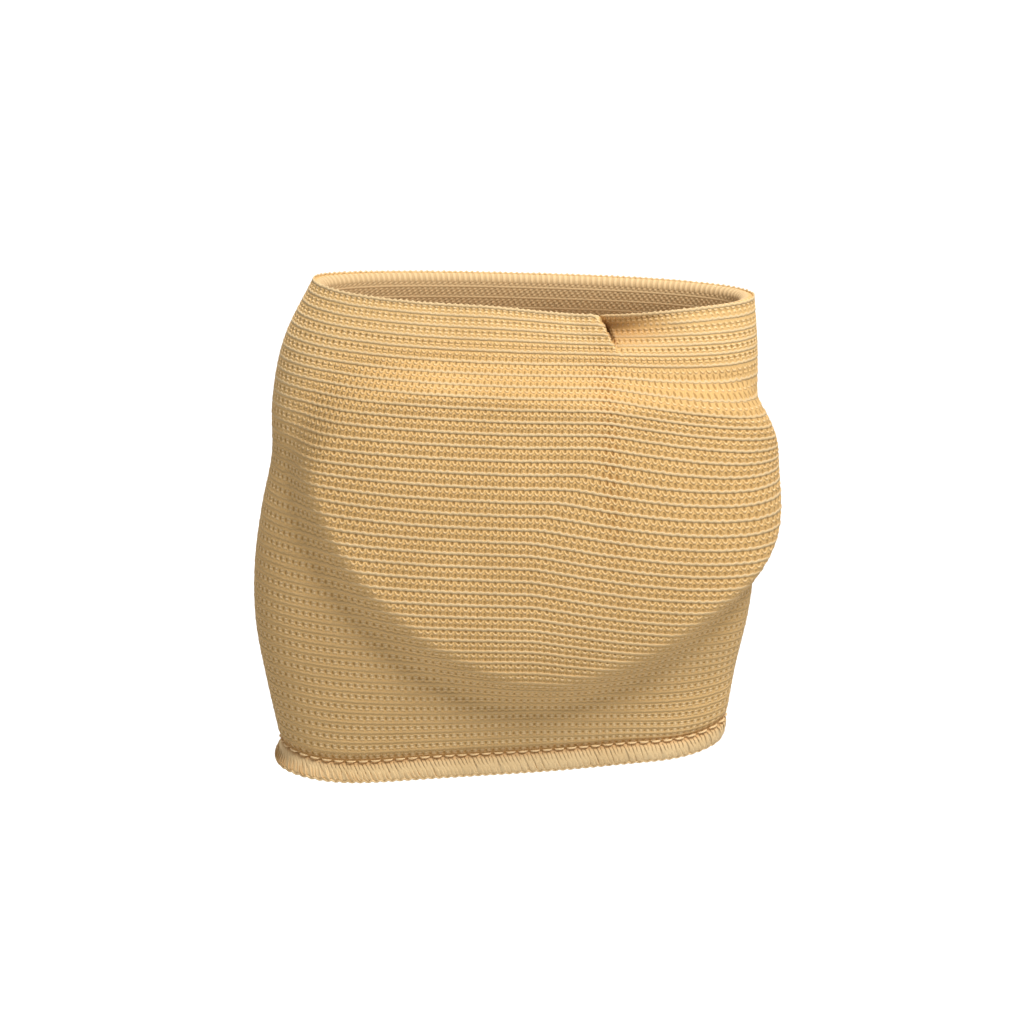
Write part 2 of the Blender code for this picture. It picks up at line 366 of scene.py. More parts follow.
def smooth_curve(places, values, at):
    """A cubic curve through values at places, each slope being that between the neighbours."""
    places = np.asarray(places, float)
    values = np.asarray(values, float)
    slopes = np.gradient(values, places)
    at = np.clip(at, places[0], places[-1])
    low = np.clip(np.searchsorted(places, at, side="right") - 1, 0, len(places) - 2)
    span = places[low + 1] - places[low]
    share = (at - places[low]) / span
    back = 1.0 - share
    return (
        values[low] * (1.0 + 2.0 * share) * back**2
        + slopes[low] * span * share * back**2
        + values[low + 1] * (1.0 + 2.0 * back) * share**2
        - slopes[low + 1] * span * back * share**2
    )


def unit(vectors):
    """The same directions with length 1."""
    return vectors / np.maximum(np.linalg.norm(vectors, axis=-1, keepdims=True), 1e-12)


def around_and_up(points):
    """Directions round the lattice, which closes, and up it, at each of its points."""
    around = np.roll(points, -1, axis=1) - np.roll(points, 1, axis=1)
    up = np.gradient(points, axis=0)
    return unit(around), unit(up)


def outward(points):
    """Away from the axis, square to the lattice: the cross product of around and up."""
    around, up = around_and_up(points)
    return unit(np.cross(around, up))


def inside_pad_edge(along, height):
    """How far a place lies inside the cushion's edge, on the line from the cushion's middle."""
    across = along - PAD_OFF_CENTRE
    up = (height - PAD_MIDDLE) * SLEEVE_LENGTH
    turn = np.arctan2(up / PAD_HALF_HEIGHT, across / PAD_HALF_WIDTH) / (2.0 * np.pi)
    return np.hypot(*pad_edge(turn % 1.0)) - np.hypot(across, up)


def pad_edge(turn):
    """The cushion's edge at a turn, across and up from its middle, along the skin."""
    turns = np.array([row.turn for row in PAD_OUTLINE])
    reaches = [row.reach for row in PAD_OUTLINE]
    all_turns = np.concatenate([turns - 1.0, turns, turns + 1.0])
    reach = smooth_curve(all_turns, reaches * 3, turn)
    angle = 2.0 * np.pi * turn
    return reach * PAD_HALF_WIDTH * np.cos(angle), reach * PAD_HALF_HEIGHT * np.sin(angle)


def skin_lattice():
    """The forefoot's skin: super-ellipses through SECTIONS, stacked, their edges slanted and dipped.

    Gives the points, the distance of each round from the middle of the sole, and the height of
    each, all on a lattice of rows up and columns round.
    """
    heights = np.linspace(0.0, 1.0, LATTICE_ROWS)
    columns = np.array(SECTIONS).T
    little, big, sole, instep, crown, arch = (
        smooth_curve(columns[0], column, heights)[:, None] for column in columns[1:]
    )
    turn = np.linspace(-np.pi, np.pi, OUTLINE_POINTS)[None, :]
    on_sole = np.cos(turn) > 0.0
    power = 2.0 / np.where(on_sole, SOLE_FLATNESS, INSTEP_FLATNESS)
    across = np.sign(np.sin(turn)) * np.abs(np.sin(turn)) ** power
    away = np.abs(np.cos(turn)) ** power
    x = HALF_WIDTH * np.where(across > 0.0, big, little) * across
    below = SOLE_DEPTH * sole * (1.0 + arch * across)
    above = INSTEP_DEPTH * instep * (1.0 + crown * across)
    y = away * np.where(on_sole, -below, above)
    step = np.hypot(np.diff(x, axis=1), np.diff(y, axis=1))
    along = np.concatenate([np.zeros((LATTICE_ROWS, 1)), np.cumsum(step, axis=1)], axis=1)
    along -= along[:, [OUTLINE_POINTS // 2]]
    shares = np.arange(LATTICE_COLUMNS) / LATTICE_COLUMNS - 0.5
    girth = along[:, -1] - along[:, 0]
    here = shares[None, :] * girth[:, None]
    under = np.broadcast_to(away * on_sole, x.shape)
    wide = np.broadcast_to(across, x.shape)
    read = []
    for values in (x, y, wide, under):
        rows = [
            np.interp(here[row], along[row], values[row], period=girth[row])
            for row in range(LATTICE_ROWS)
        ]
        read.append(np.array(rows))
    x, y, wide, under = read
    height = np.broadcast_to(heights[:, None], x.shape)
    toe_edge = TOE_EDGE_SLANT * wide - TOE_EDGE_DIP * under**2
    heel_edge = HEEL_EDGE_SLANT * wide - HEEL_EDGE_DIP * under**2
    z = LOWEST + HEM_HEIGHT + CLEARANCE + SLEEVE_LENGTH * height
    z = z + height * toe_edge + (1.0 - height) * heel_edge
    return np.stack([x, y, z], axis=-1), here, height


def pinch(along, height):
    """What the pinch does to the knit at each place.

    Gives how far it moves the wall outward, how deep it cuts the slit into the outer face, how far
    it moves the knit down and round over the slit, and how much painted shade the slit and the
    hollow beside it get, from 0 to 1. The toe edge itself stands out over the hollow beside the
    slit, as a brow.
    """
    below = (1.0 - height) * SLEEVE_LENGTH
    beside = along - PINCH_OFF_CENTRE - PINCH_LEAN * np.clip(below / PINCH_REACH, 0.0, PINCH_LEAN_END)
    big_toe_side = soft_step((beside + PINCH_STEP) / (2.0 * PINCH_STEP))
    recess = PINCH_DEPTH * big_toe_side * soft_step(1.0 - beside / PINCH_GENTLE_SIDE)
    recess = recess * (PINCH_BROW_SHARE + (1.0 - PINCH_BROW_SHARE) * soft_step(below / PINCH_BROW))
    lap = PINCH_LAP * (1.0 - big_toe_side) * soft_step(1.0 + beside / PINCH_LAP_SIDE)
    slit = np.exp(-((beside / PINCH_GROOVE_HALF_WIDTH) ** 2))
    fade = soft_step(PINCH_FADE_END - below / PINCH_REACH)
    down = PINCH_DROP * soft_step(1.0 - np.abs(beside) / PINCH_DROP_SIDE) + PINCH_NOTCH * slit
    down = down * soft_step(1.0 - below / PINCH_DROP_REACH)
    over = PINCH_OVERLAP * np.exp(-(((beside + PINCH_OVERLAP_SIDE) / PINCH_OVERLAP_SIDE) ** 2))
    # Painted shade: the hollow beside the slit and the slit itself are darkened in colour.
    hollow = PINCH_SHADE * recess / PINCH_DEPTH * fade
    ends = soft_step(below / SLIT_SHADE_START) * soft_step((SLIT_SHADE_END - below) / SLIT_SHADE_STEP)
    shade = np.maximum(np.minimum(SLIT_SHADE * slit, 1.0) * ends, hollow)
    return (lap - recess) * fade, PINCH_GROOVE * slit * fade, down, over * fade, shade


def fold_extra(height):
    """The second layer of the turned-in toe edge, which lies on the inside."""
    below = (1.0 - height) * SLEEVE_LENGTH
    return (TOE_FOLD_WALL - KNIT_WALL) * soft_step((TOE_FOLD_HEIGHT + FOLD_STEP - below) / FOLD_STEP)


def corner_drop(x):
    """How much lower the hem hangs there than it would without its corners."""
    return sum(
        corner.drop * np.exp(-(((x / HALF_WIDTH - corner.place) / corner.spread) ** 2))
        for corner in CORNERS
    )


class Sleeve:
    """The sleeve's inner and outer faces as lattices, read at any share and height.

    Other lattices say how much painted shade the knit gets there and how stretched, open and
    doubled it is, each from 0 to 1. The stretched-knit lattice is lowered at the cushion's low end,
    so that the darker slack colours paint shade there.
    """

    def __init__(self):
        skin, along, height = skin_lattice()
        draw, groove, down, over, shade = pinch(along, height)
        near_hem = np.clip(1.0 - height / CORNER_HEIGHT, 0.0, 1.0) ** 2
        skin[..., 2] -= down + corner_drop(skin[..., 0]) * near_hem
        normal = outward(skin)
        around, _ = around_and_up(skin)
        skin = skin + around * over[..., None]
        inside = inside_pad_edge(along, height)
        bulge = PAD_THICKNESS * soft_step((inside + KNIT_BRIDGE) / KNIT_SLOPE)
        from_needle = (height * SLEEVE_LENGTH - NEEDLE_LINE) / NEEDLE_GROOVE_HALF_HEIGHT
        lift = CLEARANCE + bulge + draw - NEEDLE_GROOVE * np.exp(-(from_needle**2))
        # Painted shade at the needle holes between the stitches; with the pinch's painted shade it
        # makes the fold lattice.
        stitch = np.arange(LATTICE_COLUMNS) / LATTICE_COLUMNS * NEEDLE_STITCHES
        ends = NEEDLE_SHADE * (0.5 + 0.5 * np.cos(2.0 * np.pi * stitch)) * np.exp(-(from_needle**2))
        self.fold = np.maximum(shade, ends)
        self.skin = skin
        self.skin_normal = normal
        self.girth = along[:, -1] - along[:, 0]
        inner_lift = lift - fold_extra(height) - PINCH_GROOVE_INSIDE * groove
        self.inner = skin + normal * inner_lift[..., None]
        self.outer = skin + normal * (lift - groove + KNIT_WALL)[..., None]
        self.outer_normal = outward(self.outer)
        over_pad = soft_step((inside + STRETCH_START) / STRETCH_STEP)
        # Painted shade: the stretch is taken away at the cushion's low end, so its darker slack colours
        # show there.
        over_pad = over_pad * (1.0 - LOW_PAD_SHADE * soft_step((LOW_PAD_SHADE_TOP - height) / LOW_PAD_SHADE_STEP))
        self.stretch_and_low_shade = np.maximum(over_pad, soft_step((height - STRETCH_TOES) / STRETCH_TOES_STEP))
        near_toes = soft_step((height - OPEN_TOES) / OPEN_TOES_STEP)
        self.open = soft_step((inside + OPEN_START + OPEN_MORE * near_toes) / OPEN_STEP)
        below = (1.0 - height) * SLEEVE_LENGTH
        self.doubled = soft_step((TOE_FOLD_HEIGHT + 0.5 * FOLD_STEP - below) / FOLD_STEP)

    def read(self, name, share, height):
        """A lattice's value between its points, in proportion to the distance from each."""
        lattice = getattr(self, name)
        rows, columns = lattice.shape[:2]
        row = np.clip(height, 0.0, 1.0) * (rows - 1)
        column = (share + 0.5) * columns
        low = np.clip(np.floor(row).astype(int), 0, rows - 2)
        left = np.floor(column).astype(int)
        up = row - low
        over = column - left
        if lattice.ndim == 3:
            up = up[..., None]
            over = over[..., None]
        right = (left + 1) % columns
        left = left % columns
        below = lattice[low, left] * (1.0 - over) + lattice[low, right] * over
        above = lattice[low + 1, left] * (1.0 - over) + lattice[low + 1, right] * over
        return below * (1.0 - up) + above * up


# The heights of every fifth course, from the hem to the toe edge.
COURSE_HEIGHTS = (0.000, 0.102, 0.219, 0.340, 0.476, 0.619, 0.758, 0.880, 1.000)

# The courses sag towards the big toe's side, from the middle of the ball or, near the toes, from
# the pinch on. They sag less near the hem and near the toe edge, and rise a little towards the
# little toe's side. Places round are shares of the girth, and places up are shares of the courses.
SAG_SLOPE = 0.52
SAG_START_BALL = 0.012
SAG_START_TOES = 0.080
SAG_BEND = 0.009
SAG_TOES_FROM = 0.50
SAG_TOES_STEP = 0.25
SAG_HEM_SHARE = 0.50
SAG_HEM_FROM = 0.15
SAG_HEM_STEP = 0.20
SAG_FOOT = -0.02
SAG_FOOT_STEP = 0.12
SAG_TOP = 0.885
SAG_TOP_STEP = 0.09
SAG_EDGE_SHARE = 0.22
SAG_EDGE_STEP = 0.05
RISE_SLOPE = 0.08
SIDE_END = 0.42
SIDE_FADE = 0.24


def course_height(course, share):
    """The height of a course at a share of the girth: its own height, with its rise and sag."""
    portion = course / COURSES
    height = smooth_curve(np.linspace(0.0, 1.0, len(COURSE_HEIGHTS)), COURSE_HEIGHTS, portion)
    share = (share + 0.5) % 1.0 - 0.5
    near_toes = soft_step((portion - SAG_TOES_FROM) / SAG_TOES_STEP)
    start = SAG_START_BALL + (SAG_START_TOES - SAG_START_BALL) * near_toes
    over = share - start
    over = 0.5 * (over + np.hypot(over, SAG_BEND))
    above_hem = soft_step((portion - SAG_HEM_FROM) / SAG_HEM_STEP)
    slope = SAG_SLOPE * (SAG_HEM_SHARE + (1.0 - SAG_HEM_SHARE) * above_hem)
    under_top = (1.0 - SAG_EDGE_SHARE) * soft_step((SAG_TOP - portion) / SAG_TOP_STEP)
    under_edge = SAG_EDGE_SHARE * soft_step((1.0 - portion) / SAG_EDGE_STEP)
    near_edges = soft_step((portion - SAG_FOOT) / SAG_FOOT_STEP) * (under_top + under_edge)
    fade = soft_step((SIDE_END - np.abs(share)) / SIDE_FADE)
    rise = RISE_SLOPE * np.maximum(-share, 0.0) * np.sin(np.pi * portion)
    return height + fade * (rise - slope * over * near_edges)


def wale_share(wale, height):
    """The share of the girth at a wale, which the pinch draws towards itself at the toe edge."""
    share = wale / WALES - 0.5
    place = PINCH_OFF_CENTRE / TOE_GIRTH
    beside = (share - place + 0.5) % 1.0 - 0.5
    pull = GATHER * (beside / GATHER_SPREAD) * np.exp(0.5 - 0.5 * (beside / GATHER_SPREAD) ** 2)
    return share - pull * soft_step((height - GATHER_START) / (1.0 - GATHER_START))


def grid_faces(rows, columns, close_rows, close_columns):
    """Quads of a grid of points, by number, and each corner's row and column as if it never closed."""
    row = np.arange(rows if close_rows else rows - 1)[:, None]
    column = np.arange(columns if close_columns else columns - 1)[None, :]
    row, column = np.broadcast_arrays(row, column)
    corners_row = np.stack([row, row, row + 1, row + 1], axis=-1)
    corners_column = np.stack([column, column + 1, column + 1, column], axis=-1)
    index = (corners_row % rows) * columns + corners_column % columns
    return index.reshape(-1, 4), corners_row.reshape(-1), corners_column.reshape(-1)


def make_mesh(name, points, quads, uv=None, attribute=None):
    """An object of points and quads, shaded smooth. uv is one pair for each corner of a face."""
    points = np.ascontiguousarray(points.reshape(-1, 3), np.float32)
    quads = np.ascontiguousarray(quads, np.int32)
    mesh = bpy.data.meshes.new(name)
    mesh.vertices.add(len(points))
    mesh.vertices.foreach_set("co", points.ravel())
    mesh.loops.add(quads.size)
    mesh.loops.foreach_set("vertex_index", quads.ravel())
    mesh.polygons.add(len(quads))
    mesh.polygons.foreach_set("loop_start", np.arange(0, quads.size, 4, dtype=np.int32))
    mesh.update(calc_edges=True)
    if uv is not None:
        layer = mesh.uv_layers.new(name="knit")
        layer.data.foreach_set("uv", np.ascontiguousarray(uv, np.float32).ravel())
    for attribute_name, values in (attribute or {}).items():
        layer = mesh.attributes.new(attribute_name, "FLOAT", "POINT")
        layer.data.foreach_set("value", np.ascontiguousarray(values, np.float32).ravel())
    mesh.validate()
    mesh.shade_smooth()
    piece = bpy.data.objects.new(name, mesh)
    bpy.context.scene.collection.objects.link(piece)
    return piece


def tubes(centres, upward, half_width, half_rise, sides, closed=True):
    """Tubes along whole sets of paths: an ellipse of points round each point of each path.

    centres and upward are (paths, points, 3). The ellipse is half_width wide across the path and
    half_rise high along upward. Gives the points and quads of all of them together.
    """
    if closed:
        ahead = unit(np.roll(centres, -1, axis=1) - np.roll(centres, 1, axis=1))
    else:
        ahead = unit(np.gradient(centres, axis=1))
    aside = unit(np.cross(ahead, upward))
    lift = unit(np.cross(aside, ahead))
    angle = 2.0 * np.pi * (np.arange(sides) + 0.5) / sides + 0.5 * np.pi
    cos = np.cos(angle).reshape(1, 1, sides, 1)
    sin = np.sin(angle).reshape(1, 1, sides, 1)
    half_width = np.broadcast_to(half_width, centres.shape[:2])[:, :, None, None]
    half_rise = np.broadcast_to(half_rise, centres.shape[:2])[:, :, None, None]
    points = (
        centres[:, :, None, :]
        + aside[:, :, None, :] * cos * half_width
        + lift[:, :, None, :] * sin * half_rise
    )
    paths, count = centres.shape[:2]
    quads, _, _ = grid_faces(count, sides, closed, True)
    firsts = (np.arange(paths) * count * sides)[:, None, None]
    return points.reshape(-1, 3), (quads[None] + firsts).reshape(-1, 4)


def cloth_ground(sleeve):
    """The sleeve's cloth as one closed wall: up the outer face, over the toe fold and down inside.

    Its points lie on wales and courses, the outer face's below the yarns. The toe fold is half an
    ellipse between the two faces.
    """
    columns = 440
    outer_rows = 120
    roll_rows = 7
    inner_rows = 40
    roll_course = COURSES - 0.5
    wale = np.arange(columns)[None, :] / columns * WALES
    outer_course = np.linspace(0.0, roll_course, outer_rows)
    course = outer_course[:, None]
    share = wale_share(wale, course / COURSES)
    height = course_height(course, share)
    open_knit = sleeve.read("open", share, height)
    # Painted shade along the faint crease below the pinch.
    crease = CREASE_SHADE * np.exp(-(((wale - CREASE_WALE) / CREASE_HALF_WIDTH) ** 2))
    crease = crease * soft_step((CREASE_TOP - height) / CREASE_TOP_STEP)
    crease = crease * soft_step((height - CREASE_END) / CREASE_END_STEP)
    outer = sleeve.read("outer", share, height)
    below = SLACK_GROUND_BELOW + (GROUND_BELOW - SLACK_GROUND_BELOW) * open_knit
    outer = outer - sleeve.read("outer_normal", share, height) * below[..., None]
    top = height[-1]
    inner_share_up = np.linspace(1.0, 0.0, inner_rows)[:, None]
    inner_share = wale_share(wale, inner_share_up * roll_course / COURSES)
    inner = sleeve.read("inner", inner_share, inner_share_up * top[None, :])
    middle = 0.5 * (outer[-1] + inner[0])
    across = 0.5 * (outer[-1] - inner[0])
    rise = (1.0 - top)[:, None] * SLEEVE_LENGTH * np.array([0.0, 0.0, 1.0])
    angle = np.linspace(0.0, np.pi, roll_rows + 2)[1:-1, None, None]
    roll = middle[None] + across[None] * np.cos(angle) + rise[None] * np.sin(angle)
    points = np.concatenate([outer, roll, inner])
    quads, corner_row, corner_column = grid_faces(len(points), columns, True, True)
    inner_course = roll_course * inner_share_up[:, 0]
    row_course = np.concatenate([outer_course, np.full(roll_rows, roll_course), inner_course, [0.0]])
    uv = np.stack([corner_column / columns * WALES, row_course[corner_row]], axis=-1)
    attribute = {key: np.zeros(points.shape[:2]) for key in ("inside", "open", "fold", "doubled")}
    attribute["inside"][outer_rows + roll_rows // 2 :] = 1.0
    attribute["open"][:outer_rows] = open_knit
    attribute["fold"][:outer_rows] = np.maximum(sleeve.read("fold", share, height), crease)
    attribute["doubled"][:outer_rows] = sleeve.read("doubled", share, height)
    return make_mesh("knit_ground", points, quads, uv, attribute)


def rib_yarns(sleeve):
    """The inlaid elastic: rings between the courses, which wave up and out at each wale by a cosine."""
    wale_steps = 3
    sides = 4
    wale = np.arange(wale_steps * WALES)[None, :] / wale_steps
    course = np.append(np.arange(1.0, COURSES), COURSES - TOP_RIB_BELOW)[:, None]
    scallop = np.cos(2.0 * np.pi * wale)
    share = wale_share(wale, course / COURSES)
    wobble = np.random.default_rng(RIB_SEED).uniform(-RIB_WOBBLE, RIB_WOBBLE, share.shape)
    height = course_height(course + RIB_WAVE * scallop + wobble, share)
    normal = sleeve.read("outer_normal", share, height)
    stretch_and_low_shade = sleeve.read("stretch_and_low_shade", share, height)
    lift = RIB_WAVE_RISE * scallop - RIB_SINK
    centres = sleeve.read("outer", share, height) + normal * lift[..., None]
    width = RIB_HALF_WIDTH * (1.0 + RIB_SWELL * scallop)
    points, quads = tubes(centres, normal, width, RIB_HALF_RISE, sides)
    # The fold lattice is painted shade, carried on the ribs too.
    fold = sleeve.read("fold", share, height)
    attribute = {"stretch_and_low_shade": np.repeat(stretch_and_low_shade.ravel(), sides), "fold": np.repeat(fold.ravel(), sides)}
    return make_mesh("elastic_ribs", points, quads, attribute=attribute)


def stitch_yarns(sleeve, courses):
    """Two strands to a course, an upper and a lower, whose swings are powers of a cosine of the wale.

    Over the cushion both run along the middle of the course. The upper one reaches up to the rib
    between two wales, and the lower one down to the rib at each wale, so that the holes above and
    below them are half a wale apart. Off the cushion they lie apart, close to the ribs, and meet
    in a nub at each wale, so that one hole to a stitch is open.
    """
    wale_steps = 5
    sides = 4
    steps = np.arange(wale_steps * WALES)[None, :] / wale_steps
    course = np.arange(courses.first, courses.end, dtype=float)[:, None]
    jitter = np.random.default_rng(courses.first + STITCH_SEED)
    centres = []
    normals = []
    values = {"stretch_and_low_shade": [], "fold": [], "nub": []}
    for side, half_wale in ((1.0, 0.5), (-1.0, 0.0)):
        wale = steps + half_wale
        near = 0.5 + 0.5 * np.cos(2.0 * np.pi * wale)
        reaching = near if side < 0.0 else 1.0 - near
        wobble = jitter.uniform(-1.0, 1.0, (2, len(course), wale.shape[1]))
        share = wale_share(wale + STRAND_WOBBLE_ASIDE * wobble[0], (course + 0.5) / COURSES)
        opened = sleeve.read("open", share, course_height(course + 0.5, share))
        swing = (OPEN_REST + OPEN_REACH * reaching**OPEN_POWER) * opened
        swing = swing + (CLOSED_REST - CLOSED_MEET * near) * (1.0 - opened)
        swing = side * swing + STRAND_WOBBLE_UP * wobble[1]
        height = course_height(course + 0.5 + swing, share)
        normal = sleeve.read("outer_normal", share, height)
        nub = near * (1.0 - opened * (side < 0.0))
        lift = NUB_RISE * nub - YARN_SINK
        centres.append(sleeve.read("outer", share, height) + normal * lift[..., None])
        normals.append(normal)
        values["stretch_and_low_shade"].append(sleeve.read("stretch_and_low_shade", share, height))
        values["fold"].append(sleeve.read("fold", share, height))
        # The nub attribute places the painted highlight on the nubs.
        values["nub"].append(nub**2)
    attribute = {key: np.repeat(np.concatenate(kept).ravel(), sides) for key, kept in values.items()}
    points, quads = tubes(
        np.concatenate(centres), np.concatenate(normals), YARN_HALF_WIDTH, YARN_HALF_RISE, sides
    )
    return make_mesh(courses.name, points, quads, attribute=attribute)


def hem_frame(sleeve, share):
    """At shares round the hem: its top's middle, the ways out and down, its flare and height."""
    low = np.zeros_like(share)
    a_little_up = low + 0.01
    point = sleeve.read("skin", share, low)
    down = unit(point - sleeve.read("skin", share, a_little_up))
    normal = sleeve.read("skin_normal", share, low)
    flare = HEM_FLARE * np.maximum(-point[..., 0] / HALF_WIDTH, 0.0) ** 2
    height = HEM_HEIGHT - CORNER_HEM_SHARE * corner_drop(point[..., 0])
    return point + normal * (CLEARANCE + 0.5 * KNIT_WALL), normal, down, flare, height


def on_hem(sleeve, share, angle, proud=0.0):
    """Points of the hem's section, a rounded box, at shares round it and angles about its middle.

    Angle 0 faces outward and a quarter turn faces down. proud is how far out of the band.
    """
    middle, normal, down, flare, height = hem_frame(sleeve, share)
    out = np.sign(np.cos(angle)) * np.abs(np.cos(angle)) ** HEM_SQUARENESS
    fall = np.sign(np.sin(angle)) * np.abs(np.sin(angle)) ** HEM_SQUARENESS
    half_wall = 0.5 * HEM_WALL - HEM_THREAD + proud
    half_height = 0.5 * height - HEM_THREAD_SHARE * HEM_THREAD + proud
    lean = flare * np.clip(HEM_LEAN_SHARE + (1.0 - HEM_LEAN_SHARE) * fall, 0.0, 1.0)
    centre = middle + down * (0.5 * height)[..., None]
    points = centre + normal * (out * half_wall + lean)[..., None]
    points = points + down * (fall * half_height)[..., None]
    outside = unit(normal * out[..., None] + down * fall[..., None])
    return points, outside


def hem_shade(angle):
    """The hem's painted shade at an angle about its section's middle: on its top, under the stitches.
    """
    return HEM_TOP_SHADE * soft_step((-np.sin(angle) - HEM_SHADE_FROM) / HEM_SHADE_STEP)


def hem_band(sleeve):
    """The hem's cloth: a rounded box swept round the heel's edge, pulled in a little at each wrap."""
    steps = 5 * HEM_WRAPS
    sides = 14
    share = (np.arange(steps) / steps - 0.5)[:, None]
    angle = (2.0 * np.pi * np.arange(sides) / sides)[None, :]
    share, angle = np.broadcast_arrays(share, angle)
    pull = HEM_PULL * np.cos(2.0 * np.pi * share * HEM_WRAPS)
    points, _ = on_hem(sleeve, share, angle, pull)
    quads, _, _ = grid_faces(steps, sides, True, True)
    return make_mesh("hem_band", points, quads, attribute={"fold": hem_shade(angle).ravel()})


def overlock_threads(sleeve):
    """Two threads that wind round the hem side by side, one turn to a wrap, leaning as they fall."""
    turn_steps = 12
    sides = 6
    steps = HEM_WRAPS * turn_steps
    turns = np.arange(steps) / turn_steps
    centres = []
    normals = []
    jitter = np.random.default_rng(THREAD_SEED)
    quarter_turns = np.arange(4 * HEM_WRAPS) / 4.0
    angle = 2.0 * np.pi * turns
    for offset in THREAD_OFFSETS:
        wander = jitter.uniform(-THREAD_WANDER, THREAD_WANDER, len(quarter_turns))
        wander = np.interp(turns, quarter_turns, wander, period=HEM_WRAPS)
        lean = (THREAD_LEAN + wander) * np.cos(angle - 0.5 * np.pi)
        share = (turns + offset + lean + wander) / HEM_WRAPS - 0.5
        points, outside = on_hem(sleeve, share, angle, THREAD_LIFT * HEM_THREAD)
        centres.append(points)
        normals.append(outside)
    half_width = THREAD_HALF_WIDTH * HEM_THREAD
    half_rise = THREAD_HALF_RISE * HEM_THREAD
    points, quads = tubes(np.array(centres), np.array(normals), half_width, half_rise, sides)
    shade = np.repeat(np.tile(hem_shade(angle), len(THREAD_OFFSETS)), sides)
    return make_mesh("overlock_threads", points, quads, attribute={"fold": shade})


def scalloped_edge_thread(sleeve):
    """The looper's thread along the hem's free edge: a wave that dips once at each wrap."""
    steps = HEM_WRAPS * 8
    share = np.arange(steps) / steps - 0.5
    wave = np.cos(2.0 * np.pi * share * HEM_WRAPS)
    angle = 0.5 * np.pi - SCALLOP_PLACE + SCALLOP_SWING * wave
    proud = HEM_THREAD * (SCALLOP_PROUD + SCALLOP_PROUD_SWING * wave)
    points, outside = on_hem(sleeve, share, angle, proud)
    points, quads = tubes(points[None], outside[None], SCALLOP_HALF_WIDTH, SCALLOP_HALF_RISE, 6)
    return make_mesh("scalloped_edge_thread", points, quads)


def needle_stitches(sleeve):
    """The stitches above the hem: short threads that rise and thicken by powers of a half sine."""
    stitch_steps = 9
    progress = np.linspace(0.0, 1.0, stitch_steps)[None, :]
    first = np.arange(NEEDLE_STITCHES)[:, None]
    along = NEEDLE_GAP + (1.0 - 2.0 * NEEDLE_GAP) * progress
    share = (first + along) / NEEDLE_STITCHES - 0.5
    height = np.full(share.shape, NEEDLE_LINE / SLEEVE_LENGTH)
    normal = sleeve.read("outer_normal", share, height)
    arch = np.sin(np.pi * progress)
    proud = NEEDLE_RISE * arch**NEEDLE_RISE_POWER - NEEDLE_SINK
    centres = sleeve.read("outer", share, height) + normal * proud[..., None]
    radius = NEEDLE_RADIUS * np.broadcast_to(arch, share.shape) ** NEEDLE_RADIUS_POWER
    radius = radius + NEEDLE_TIP_RADIUS
    points, quads = tubes(centres, normal, radius, radius, 6, closed=False)
    return make_mesh("needle_stitches", points, quads)


def gel_cushion(sleeve):
    """The cushion: rings round its middle out over the top, round its edge and back underneath.

    The top stands off the skin by the cushion's thickness, which falls over its shoulder. The
    underside lies on the skin.
    """
    spokes = 160
    rings = 34
    turn = (np.arange(spokes) / spokes)[None, :]
    reach = np.sin(0.5 * np.pi * np.linspace(0.0, 1.0, rings))[:, None]
    across, up = pad_edge(turn)
    inside = (1.0 - reach) * np.hypot(across, up)
    wall = PAD_EDGE_THICKNESS + (PAD_THICKNESS - PAD_EDGE_THICKNESS) * soft_step(inside / PAD_SHOULDER)
    height = PAD_MIDDLE + reach * up / SLEEVE_LENGTH
    rows = np.linspace(0.0, 1.0, len(sleeve.girth))
    share = (PAD_OFF_CENTRE + reach * across) / np.interp(height, rows, sleeve.girth)
    skin = sleeve.read("skin", share, height)
    normal = sleeve.read("skin_normal", share, height)
    top = skin + normal * wall[..., None]
    edge = 0.5 * (top[-1] + skin[-1])
    outward_edge = unit(skin[-1] - skin[-3]) * 0.5 * PAD_EDGE_THICKNESS
    points = np.concatenate([top, (edge + outward_edge)[None], skin[::-1]])
    quads, _, _ = grid_faces(len(points), spokes, False, True)
    piece = make_mesh("gel_cushion", points, quads[:, ::-1])
    merge_poles(piece)
    return piece


def merge_poles(piece):
    """Joins the points that fall together where rings shrink to one point."""
    work = bmesh.new()
    work.from_mesh(piece.data)
    bmesh.ops.remove_doubles(work, verts=work.verts, dist=1e-6)
    work.to_mesh(piece.data)
    work.free()


